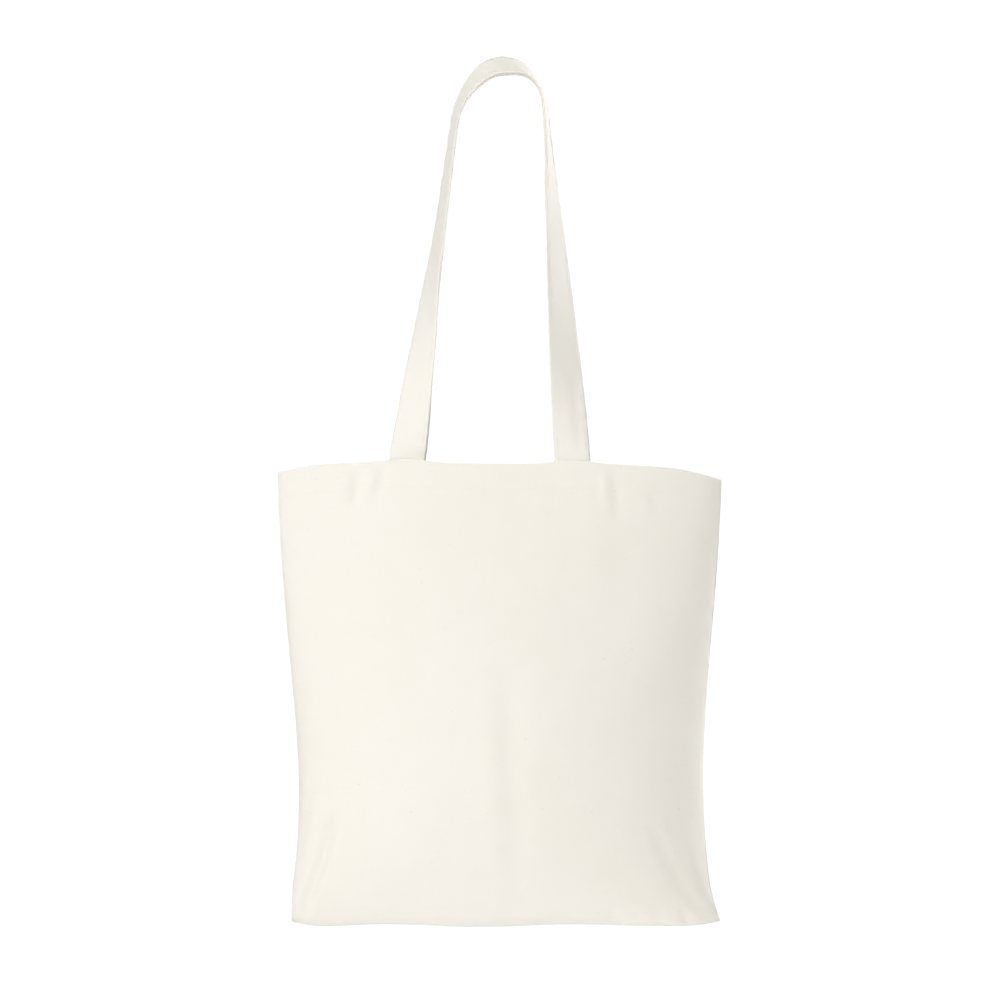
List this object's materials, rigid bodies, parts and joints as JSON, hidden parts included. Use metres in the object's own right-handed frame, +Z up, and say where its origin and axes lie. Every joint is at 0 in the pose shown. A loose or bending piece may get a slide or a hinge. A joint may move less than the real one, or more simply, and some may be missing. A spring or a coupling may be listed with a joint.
{
  "type": "canvas tote bag",
  "caption": "Flat-sewn canvas tote bag hanging full, with an open hemmed mouth and long handles that lean together into one loop.",
  "frame": {"origin": "the point the bag hangs from: on its middle plane, level with the lowest edge of the handles' crown", "axes": "+Z up, the front panel faces -Y, +X to the right seen from the front"},
  "size_m": [0.3806, 0.1238, 0.7466],
  "materials": {
    "canvas": "matte",
    "strap": "matte",
    "thread": "matte"
  },
  "bodies": {
    "bag": {"front_panel": "canvas", "back_panel": "canvas", "front_hem": "canvas", "back_hem": "canvas", "left_seam_allowance": "canvas", "right_seam_allowance": "canvas", "bottom_seam_allowance": "canvas", "front_handle_left_foot": "strap", "front_handle_right_foot": "strap", "back_handle_left_foot": "strap", "back_handle_right_foot": "strap", "front_hem_stitch": "thread", "back_hem_stitch": "thread", "left_seam_overlock": "thread", "right_seam_overlock": "thread", "bottom_seam_overlock": "thread", "front_handle_left_foot_stitch": "thread", "front_handle_right_foot_stitch": "thread", "back_handle_left_foot_stitch": "thread", "back_handle_right_foot_stitch": "thread"},
    "front_handle": {"front_handle": "strap", "front_handle_outer_stitch": "thread", "front_handle_inner_stitch": "thread"},
    "back_handle": {"back_handle": "strap", "back_handle_outer_stitch": "thread", "back_handle_inner_stitch": "thread"}
  },
  "joints": [
    {"name": "front_handle_fold", "type": "hinge", "parent": "bag", "child": "front_handle", "pos_m": [0, -0.0236, -0.3335], "axis": [1, 0, 0], "range_deg": [0, 160]},
    {"name": "back_handle_fold", "type": "hinge", "parent": "bag", "child": "back_handle", "pos_m": [0, 0.0236, -0.3335], "axis": [-1, 0, 0], "range_deg": [0, 160]}
  ]
}
